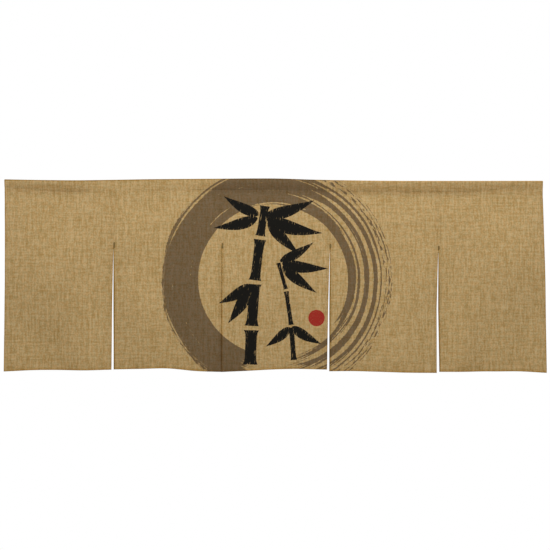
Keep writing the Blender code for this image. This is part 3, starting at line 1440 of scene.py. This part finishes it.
@dataclass(frozen=True)
class Panel:
    """One width of cloth: a sheet with its side hems and its foot hem turned to the back and stitched."""

    index: int
    cloth: float = 0.0009
    hem_layer: float = 0.0010
    corner_layer: float = 0.0006
    side_hem: float = 0.0100
    foot_hem: float = 0.0350
    side_stitch: float = 0.0080
    foot_stitch: float = 0.0330
    hem_step: float = 0.0006
    hem_rise: float = 0.00018
    side_dimple: float = 0.00030
    foot_dimple: float = 0.00034
    cell: float = 0.0056
    side_steps: int = 260
    foot_steps: int = 160
    top_rows: tuple[float, ...] = (0.0, 0.0006, 0.0016, 0.0032, 0.0060)
    roll_rows: tuple[float, ...] = (0.0, 0.0002, 0.0006, 0.0012, 0.0022, 0.0033, 0.0044, 0.0056)
    hem_rows: tuple[float, ...] = (0.010, 0.016, 0.023)
    hem_wander: Drift = Drift(0.05, 0.05, 15.0, 0.0004)
    hem_puff: Drift = Drift(0.012, 0.012, 9.9)
    puff_depth: float = 0.00015
    side_pull: Drift = Drift(1.0, 0.009, 6.6, 0.5)
    foot_pull: Drift = Drift(0.009, 1.0, 4.4, 0.5)
    # Shade painted on the cloth: fold shade along folded edges, shadows at the slits and under the pocket's ends,
    # shade below the pocket's stitching, faint shade over the doubled hems
    foot_edge_shade: PaintedEdgeShade = PaintedEdgeShade(0.42, 0.0080)
    warm_edge_shade: PaintedEdgeShade = PaintedEdgeShade(0.36, 0.0046)
    slit_edge_shadow: PaintedEdgeShade = PaintedEdgeShade(1.0, 0.0056)
    closed_shadow_reach: float = 0.0042
    closed_slit_shadow: Pair = (0.66, 0.34)
    corner_shadow: float = 0.25
    pocket_shade: float = 0.15
    hem_shade: float = 0.04
    back_print: float = 0.45

    @property
    def name(self) -> str:
        """The panel's name, with its place from the left, counted from 1."""
        return f"panel_{self.index + 1}"

    @property
    def width(self) -> float:
        """The panel's width under the pocket."""
        return LINES[self.index + 1].top_x - LINES[self.index].top_x

    @property
    def height(self) -> float:
        """The panel's height from the pocket's stitching to its hem."""
        return -SHAPE.pocket_depth - FEET[self.index].middle

    def insets(self, across: float, down: float) -> Pair:
        """Returns a flat point's distance from the nearer side edge and from the foot."""
        return min(across, self.width - across), self.height - down

    def stations(self, length: float, starts: Sequence[float], ends: Sequence[float]) -> list[float]:
        """Places grid lines: close ones near both ends, even ones between.

        Args:
            length: The length to divide.
            starts: Distances from the start.
            ends: Distances from the end.

        Returns:
            Distances from the start, in order.
        """
        low, high = starts[-1], length - ends[-1]
        count = max(1, round((high - low) / self.cell))
        between = [mix(low, high, i / count) for i in range(1, count)]
        return [*starts, *between, *(length - end for end in reversed(ends))]

    def border(self, hem: float, stitch: float) -> list[float]:
        """Places the grid lines beside a hemmed edge.

        Args:
            hem: The hem's depth.
            stitch: The distance of its stitching from the edge.

        Returns:
            Distances from the edge, in order.
        """
        sewn = [stitch - 0.0022, stitch - 0.0008, stitch, stitch + 0.0008, hem - 0.0003, hem + 0.0004]
        return [*self.roll_rows, *(row for row in self.hem_rows if row < stitch - 0.006), *sewn]

    def point(self, across: float, down: float) -> Point:
        """Finds where a flat point of the panel hangs.

        Args:
            across: Distance from the left edge, on the flat panel.
            down: Distance from the pocket's stitching, on the flat panel.

        Returns:
            Its place on the panel's front.
        """
        share = across / self.width
        left, right = LINES[self.index], LINES[self.index + 1]
        top = SHAPE.stitch_z(mix(left.top_x, right.top_x, share)) - SHAPE.piece_gap / 2
        z = mix(top, SHAPE.foot_z(self.index, share), down / self.height)
        x = mix(SHAPE.edge_x(left, Side.RIGHT, z), SHAPE.edge_x(right, Side.LEFT, z), share)
        y = SHAPE.panel_depth(self.index, share, x, z) - SHAPE.face + SHAPE.pucker(x, z)
        return x, y, z

    def side_edge_shade(self, number: int, inset: float, down: float, z: float) -> float:
        """Finds the shade painted beside one of the panel's side edges: fold shade, and shadow at a slit.

        Args:
            number: The line beside the edge, by its place in LINES.
            inset: Distance from the edge.
            down: Distance from the pocket's stitching, on the flat panel.
            z: Height.

        Returns:
            The tone.
        """
        if LINES[number] not in SEAMS:
            # Outer edge: painted fold shade, with a painted shadow just under the pocket's end
            spot = self.corner_shadow * bell((down - 0.007) / 0.007)
            return (self.warm_edge_shade.tone + spot) * edge_fade(inset, self.warm_edge_shade.reach)
        below = SHAPE.below_split(LINES[number], z)
        # Beside a slit: a painted shadow along the edge on the slit's right, painted fold shade along the edge on
        # its left
        edge = self.slit_edge_shadow if number == self.index else self.warm_edge_shade
        tone, reach = edge.tone * mix(0.6, 1.0, clamp(below / 0.3)), edge.reach
        # The slit that stays closed gets a painted shadow line where its two sides touch
        if number == CLOSED_SLIT:
            tone, reach = mix(*self.closed_slit_shadow, below), self.closed_shadow_reach
        # Above the slit, where the panels are sewn, only the faint painted shade of the doubled cloth
        sewn = ease((z + LINES[number].split + 0.004) / 0.012)
        return mix(tone, self.hem_shade, sewn) * edge_fade(inset, reach)

    def painted_shade(self, across: float, down: float, x: float, z: float) -> float:
        """Finds the shade painted on the cloth along its folded edges and under the pocket's stitching.

        Args:
            across: Distance from the left edge, on the flat panel.
            down: Distance from the pocket's stitching, on the flat panel.
            x: Place across the cloth.
            z: Height.

        Returns:
            0 for plain cloth, about 0.35 for a warm edge and 1 for a dark one.
        """
        # Painted fold shade along the foot
        tones = [self.foot_edge_shade.at(self.height - down)]
        # Painted shade just under the pocket's stitching, as strong as the stitching draws the cloth in
        if down < 0.012:
            tones.append(self.pocket_shade * min(1.0, SHAPE.pinch(x)) * (1 - ease(down / 0.010)))
        tones.append(self.side_edge_shade(self.index, across, down, z))
        tones.append(self.side_edge_shade(self.index + 1, self.width - across, down, z))
        return max(tones)

    def sewn_relief(self, inset: float, above: float, x: float, z: float) -> float:
        """Finds how far the hems' stitching draws the front in at a point.

        Args:
            inset: Distance from the nearer side edge.
            above: Distance above the foot.
            x: Place across the cloth.
            z: Height.

        Returns:
            The depth of the dimple.
        """
        side = groove((inset - self.side_stitch) / 0.0011) * (1 + self.side_pull.at(x, z))
        foot = groove((above - self.foot_stitch) / 0.0012) * (1 + self.foot_pull.at(x, z))
        beside = ease((self.side_hem + 0.002 - inset) / 0.004)
        step = self.hem_rise * (beside + ease((self.foot_hem + 0.002 - above) / 0.004))
        return self.side_dimple * side + self.foot_dimple * foot - min(self.hem_rise, step)

    def pair(self, skin: Skin, across: float, down: float) -> tuple[int, int]:
        """Adds the front point and the back point of one place on the panel.

        Args:
            skin: The mesh in the making.
            across: Distance from the left edge, on the flat panel.
            down: Distance from the pocket's stitching, on the flat panel.

        Returns:
            The numbers of the two points.
        """
        x, y, z = self.point(across, down)
        inset, above = self.insets(across, down)
        wander = self.hem_wander.at(x, z)
        in_side = ease((self.side_hem + wander - inset) / self.hem_step + 0.5)
        in_foot = ease((self.foot_hem + wander - above) / self.hem_step + 0.5)
        hemmed = max(in_side, in_foot)
        thick = self.cloth + self.hem_layer * hemmed + self.corner_layer * min(in_side, in_foot)
        roll = edge_roll(min(inset, above), thick / 2)
        line = LINES[self.index + (across > self.width / 2)]
        if inset < above and line in SEAMS:
            roll *= 1 - ease((z + line.split) / 0.01)
        sewn = self.sewn_relief(inset, above, x, z)
        # The painted shade of the edges, and faint painted shade where the hems double the cloth
        tone = max(self.painted_shade(across, down, x, z), self.hem_shade * hemmed)
        front = skin.add((x, y + sewn + roll, z), 1.0, tone)
        puff = self.puff_depth * hemmed * self.hem_puff.at(x, z)
        back_y = y + thick + min(0.0, sewn) - roll + puff
        return front, skin.add((x, back_y, z), self.back_print * (1 - hemmed), tone)

    def build(self, material: bpy.types.Material) -> bpy.types.Object:
        """Builds the panel's cloth.

        Args:
            material: The cloth's finish.

        Returns:
            The panel.
        """
        skin = Skin()
        side = self.border(self.side_hem, self.side_stitch)
        columns = self.stations(self.width, side, side)
        rows = self.stations(self.height, self.top_rows, self.border(self.foot_hem, self.foot_stitch))
        fronts, backs = [], []
        for down in rows:
            pairs = [self.pair(skin, across, down) for across in columns]
            fronts.append([front for front, _ in pairs])
            backs.append([back for _, back in pairs])
        skin.close_sheet(fronts, backs)
        piece = skin.to_piece(f"cloth_{self.name}", material)
        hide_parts(self.name)
        return piece

    def stitches(self, thread: Stitching) -> bpy.types.Object:
        """Sews the side hems and the foot hem.

        Args:
            thread: How the stitches are made.

        Returns:
            The stitches, as one piece.
        """
        skin = Skin()
        foot = self.height - self.foot_stitch
        for across in (self.side_stitch, self.width - self.side_stitch):
            downs = [mix(0.004, foot, i / self.side_steps) for i in range(self.side_steps + 1)]
            self.sew(skin, thread, [(across, down) for down in downs])
        span = self.width - 2 * self.side_stitch
        places = [self.side_stitch + span * i / self.foot_steps for i in range(self.foot_steps + 1)]
        self.sew(skin, thread, [(across, foot) for across in places])
        return skin.to_piece(f"hem_stitches_{self.index + 1}", thread.material)

    def sew(self, skin: Skin, thread: Stitching, flat: Sequence[Pair]) -> None:
        """Lays stitches along a path on the flat panel, on its front and its back.

        Args:
            skin: The mesh in the making.
            thread: How the stitches are made.
            flat: The path, as (across, down) points.
        """
        front, back = [], []
        for across, down in flat:
            x, y, z = self.point(across, down)
            front.append(Vector((x, y + self.sewn_relief(*self.insets(across, down), x, z), z)))
            back.append(Vector((x, y + self.cloth + self.hem_layer, z)))
        thread.both(skin, front, back)


@dataclass(frozen=True)
class RodPocket:
    """The tunnel for the rod: the cloth's top, folded to the back and stitched down."""

    low: float = LINES[0].top_x
    high: float = LINES[-1].top_x
    cloth: float = 0.0009
    hem_layer: float = 0.0008
    end_hem: float = 0.0090
    hem_step: float = 0.0006
    flap: float = 0.0038
    flap_wander: Drift = Drift(0.03, 1.0, 7.7, 0.0004)
    seam_groove: float = 0.0008
    seam_depth: float = 0.00025
    cell: float = 0.0042
    closest: float = 0.0014
    wall_points: int = 17
    stitch_share: float = 0.985
    stitch_inset: float = 0.003
    stitch_steps: int = 600
    # Shade painted on the pocket: fold shade at its ends, seams, top fold and flap's edge, and shade over the lower
    # half of its front
    end_shade: float = 0.36
    seam_shade: float = 0.04
    fold_shades: Pair = (0.95, 0.35)
    pocket_shade: float = 0.15
    lip_roll: float = 0.0002
    back_print: float = 0.45

    def stations(self) -> list[float]:
        """Places the pocket's sections, close together at its ends and seams.

        Returns:
            Their places across the cloth, in order.
        """
        ends = (0.0, 0.0003, 0.0009, self.end_hem - 0.0003, self.end_hem + 0.0003)
        places = {self.low + end for end in ends} | {self.high - end for end in ends}
        for line in SEAMS:
            places |= {line.top_x + off for off in (-0.0026, -0.0012, -0.0005, 0.0, 0.0005, 0.0012, 0.0026)}
        fixed = sorted(places)
        count = round((self.high - self.low) / self.cell)
        for i in range(1, count):
            x = mix(self.low, self.high, i / count)
            if min(abs(x - other) for other in fixed) > self.closest:
                places.add(x)
        return sorted(places)

    def seam(self, x: float) -> float:
        """Returns 1 on a seam between two panels, falling fast to 0 beside it."""
        return groove(min(abs(x - line.top_x) for line in SEAMS) / self.seam_groove)

    def section(self, x: float) -> tuple[list[Pair], list[float]]:
        """Finds the cloth's outer face at a station.

        Args:
            x: The station.

        Returns:
            The (y, z) points from the front stitching over the fold to the flap's end, and each one's share of
            print.
        """
        last = self.wall_points - 1
        shares = [(0.5 - 0.5 * math.cos(math.pi * i / last)) ** 1.35 for i in range(last + 1)]
        valley = self.seam_depth * self.seam(x)
        points, prints = [], []
        for share in reversed(shares):
            y, z = SHAPE.pocket_wall(x, share, True)
            points.append((y + SHAPE.pucker(x, z) * ease(share * 2) + valley, z))
            prints.append(1.0)
        for share in shares[1:]:
            y, z = SHAPE.pocket_wall(x, share, False)
            points.append((y - SHAPE.pucker(x, z) * ease(share * 2) - valley, z))
            prints.append(1 - ease(share / 0.08))
        foot_y, foot_z = points[-1]
        for down in (0.0012, 0.0026, self.flap + self.flap_wander.at(x)):
            settled = SHAPE.drawn(x, foot_z) - SHAPE.drawn(x, foot_z - down)
            points.append((foot_y + settled + 0.0003 * ease(down / 0.002), foot_z - down))
            prints.append(0.0)
        return points, prints

    def painted_fold_shade(self, x: float, y: float, z: float) -> float:
        """Finds the shade painted along the top fold.

        Args:
            x: Place across the cloth.
            y: Depth.
            z: Height.

        Returns:
            The tone.
        """
        top = edge_fade(-z - SHAPE.crest("drop", x), 0.0050, 1.5)
        fold_strength = mix(*self.fold_shades, ease((x - 0.15) / 0.15))
        return fold_strength * top * ease((0.0016 - y) / 0.0030)

    def loop(self, skin: Skin, x: float) -> list[int]:
        """Adds the points round the cloth's thickness at a station.

        Args:
            skin: The mesh in the making.
            x: The station.

        Returns:
            The points' numbers, along the outer face and back along the inner.
        """
        points, prints = self.section(x)
        end = min(x - self.low, self.high - x)
        thick = self.cloth + self.hem_layer * ease((self.end_hem - end) / self.hem_step + 0.5)
        roll = edge_roll(end, thick / 2)
        # Painted fold shade at the pocket's ends and at its seams
        tone = max(self.end_shade * edge_fade(end, 0.0046, 1.5), self.seam_shade * self.seam(x))
        outer, inner = [], []
        for i, (y, z) in enumerate(points):
            before, after = points[max(0, i - 1)], points[min(len(points) - 1, i + 1)]
            run, rise = after[0] - before[0], after[1] - before[1]
            size = math.hypot(run, rise)
            run, rise = run / size, rise / size
            lip = i == len(points) - 1
            # Painted shade over the lower half of the front wall, as strong as the stitching draws the cloth in
            below = ease((-z - SHAPE.crest("drop", x)) / 0.022) * (i < self.wall_points)
            lower_wall_shade = self.pocket_shade * below * min(1.0, SHAPE.pinch(x))
            # The point's painted shade, with painted fold shade along the flap's edge
            shade = max(tone, lower_wall_shade, self.painted_fold_shade(x, y, z), self.end_shade * lip)
            inset = roll + self.lip_roll * lip
            outer.append(skin.add((x, y + rise * inset, z - run * inset), prints[i], shade))
            depth = thick - roll - self.lip_roll * lip
            inner.append(skin.add((x, y + rise * depth, z - run * depth), self.back_print * prints[i], tone))
        return outer + inner[::-1]

    def build(self, material: bpy.types.Material) -> bpy.types.Object:
        """Builds the pocket's cloth.

        Args:
            material: The cloth's finish.

        Returns:
            The pocket.
        """
        skin = Skin()
        loops = [self.loop(skin, x) for x in self.stations()]
        for one, other in zip(loops, loops[1:]):
            skin.bridge(one, other)
        half = len(loops[0]) // 2
        for loop in (loops[0], loops[-1]):
            skin.bridge(loop[:half], loop[half:][::-1], closed=False)
        piece = skin.to_piece("cloth_rod_pocket", material)
        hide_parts("rod_pocket")
        return piece

    def stitches(self, thread: Stitching) -> bpy.types.Object:
        """Sews the pocket down, on its front and its back.

        Args:
            thread: How the stitches are made.

        Returns:
            The stitches, as one piece.
        """
        skin = Skin()
        front, back = [], []
        for i in range(self.stitch_steps + 1):
            share = i / self.stitch_steps
            x = mix(self.low + self.stitch_inset, self.high - self.stitch_inset, share)
            y, z = SHAPE.pocket_wall(x, self.stitch_share, True)
            front.append(Vector((x, y + SHAPE.pucker(x, z), z)))
            y, z = SHAPE.pocket_wall(x, self.stitch_share, False)
            back.append(Vector((x, y - SHAPE.pucker(x, z), z)))
        thread.both(skin, front, back)
        return skin.to_piece("pocket_stitches", thread.material)


@dataclass(frozen=True)
class BarTack:
    """A bar of close satin stitches that stops a slit from tearing upwards."""

    line: int
    width: float = 0.0052
    rise: float = 0.0011
    thread: float = 0.00055
    sunk: float = 0.0002
    sway: float = 0.0003
    rows_a_thread: int = 4
    columns: int = 11

    def build(self, material: bpy.types.Material) -> bpy.types.Object:
        """Builds the tack.

        Args:
            material: The thread's finish.

        Returns:
            The tack.
        """
        line = LINES[self.line]
        threads = round(line.tack_height / self.thread)
        count = threads * self.rows_a_thread
        skin = Skin()
        fronts, backs = [], []
        for j in range(count + 1):
            down = j / count
            z = -line.split + line.tack_height * (0.5 - down)
            ridge = 0.70 + 0.30 * abs(math.sin(math.pi * threads * down))
            number = min(threads - 1, int(threads * down))
            reach = self.width / 2 * (1 + 0.10 * math.sin(number * 2.1) + 0.05 * math.sin(number * 5.3))
            pinch = 0.82 + 0.18 * ease(min(down, 1 - down) / 0.12)
            base = SHAPE.drape(line.top_x, z) + SHAPE.cockle(line.top_x, z) - SHAPE.face - self.sunk
            fronts.append([])
            backs.append([])
            for i in range(self.columns + 1):
                share = 2 * i / self.columns - 1
                x = line.top_x + line.tack_aside + share * reach * pinch + self.sway * math.sin(j * 0.21)
                dome = self.rise * math.sqrt(max(0.0, 1 - share**4)) * ridge * pinch
                fronts[-1].append(skin.add((x, base - 0.0001 - dome, z)))
                backs[-1].append(skin.add((x, base, z)))
        skin.close_sheet(fronts, backs)
        piece = skin.to_piece(f"bar_tack_{self.line}", material)
        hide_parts(f"slit_tack_{self.line}")
        return piece


@dataclass(frozen=True)
class SoftLamp:
    """A soft rectangular lamp: where it hangs, its width and height, and its power in watts."""

    name: str
    spot: Point
    size: Pair
    power: float

    def hang(self, aim: Point) -> None:
        """Hangs the lamp.

        Args:
            aim: The point that it faces.
        """
        lamp = bpy.data.lights.new(self.name, "AREA")
        lamp.shape = "RECTANGLE"
        lamp.size, lamp.size_y = self.size
        lamp.energy = self.power
        hung = bpy.data.objects.new(self.name, lamp)
        hung.location = self.spot
        hung.rotation_euler = (Vector(aim) - Vector(self.spot)).to_track_quat("-Z", "Y").to_euler()
        bpy.context.scene.collection.objects.link(hung)


@dataclass(frozen=True)
class Studio:
    """The pale floor, the soft lights and the camera."""

    frame_width: float = 1.7366
    distance: float = 4.0
    aim: Point = (0.0044, 0.0, -0.3047)
    sensor: float = 36.0
    floor_z: float = -1.70
    floor_size: float = 4.0
    ambient: float = 0.45
    lamps: tuple[SoftLamp, ...] = (
        SoftLamp("key_light", (0.10, -1.38, 1.42), (2.8, 0.8), 51.3),
        SoftLamp("back_light", (-0.10, 1.60, 0.90), (2.4, 0.8), 30.0),
    )

    def floor(self) -> None:
        """Lays the floor."""
        half = self.floor_size / 2
        mesh = bpy.data.meshes.new("studio_floor")
        corners = ((-half, -half), (half, -half), (half, half), (-half, half))
        mesh.from_pydata([(x, y, self.floor_z) for x, y in corners], [], [(0, 1, 2, 3)])
        mesh.materials.append(PalePaint().material("pale_floor_paint"))
        floor = bpy.data.objects.new("studio_floor", mesh)
        bpy.context.scene.collection.objects.link(floor)

    def sky(self) -> None:
        """Surrounds the scene with even light, white where the camera sees it."""
        world = bpy.data.worlds.new("studio_white")
        bpy.context.scene.world = world
        graph = Graph(world)
        white = (1.0, 1.0, 1.0, 1.0)
        lit = graph.node("ShaderNodeBackground", {}, {"Color": white, "Strength": self.ambient})
        seen = graph.node("ShaderNodeBackground", {}, {"Color": white, "Strength": 1.0})
        direct = graph.node("ShaderNodeLightPath", {}, {}, "Is Camera Ray")
        picked = graph.node("ShaderNodeMixShader", {}, {0: direct, 1: lit, 2: seen})
        graph.add("ShaderNodeOutputWorld", {}, {"Surface": picked})

    def camera(self) -> None:
        """Sets the camera square to the cloth."""
        lens = bpy.data.cameras.new("studio_camera")
        lens.sensor_width = self.sensor
        lens.lens = self.sensor * self.distance / self.frame_width
        camera = bpy.data.objects.new("studio_camera", lens)
        camera.location = (self.aim[0], -self.distance, self.aim[2])
        camera.rotation_euler = (math.pi / 2, 0.0, 0.0)
        bpy.context.scene.collection.objects.link(camera)
        bpy.context.scene.camera = camera

    def build(self) -> None:
        """Builds the studio."""
        self.floor()
        for lamp in self.lamps:
            lamp.hang(self.aim)
        self.sky()
        self.camera()
        bpy.context.scene.view_settings.view_transform = "Standard"


def main() -> None:
    """Builds the dressed curtain and its studio, and reports each piece."""
    logging.basicConfig(level=logging.INFO, format="%(name)s: %(message)s")
    plain = HempCloth().material("hemp_cloth_plain", printed=False)
    printed = HempCloth().material("hemp_cloth_printed", printed=True)
    matched = SewingThread((0.30, 0.20, 0.085), (0.50, 0.37, 0.18)).material("matching_thread", printed=True)
    dark = SewingThread((0.142, 0.092, 0.026), (0.268, 0.179, 0.056), 0.0006).material("dark_thread", printed=False)
    thread = Stitching(matched)
    tacks = {number: BarTack(number).build(dark) for number in range(1, len(LINES) - 1)}
    pocket = RodPocket()
    pocket_cloth = pocket.build(printed)
    pocket.stitches(thread)
    for index in range(len(FEET)):
        panel = Panel(index)
        piece = panel.build(printed if 0 < index < len(FEET) - 1 else plain)
        sewn = [panel.stitches(thread)]
        if index + 1 in tacks:
            sewn.append(tacks[index + 1])
    Studio().build()
    for piece in bpy.context.scene.objects:
        if piece.type == "MESH" and piece.name not in frame["nodes"]:
            LOG.info("%s: %d points, %d faces", piece.name, len(piece.data.vertices), len(piece.data.polygons))


if __name__ == "__main__":
    main()
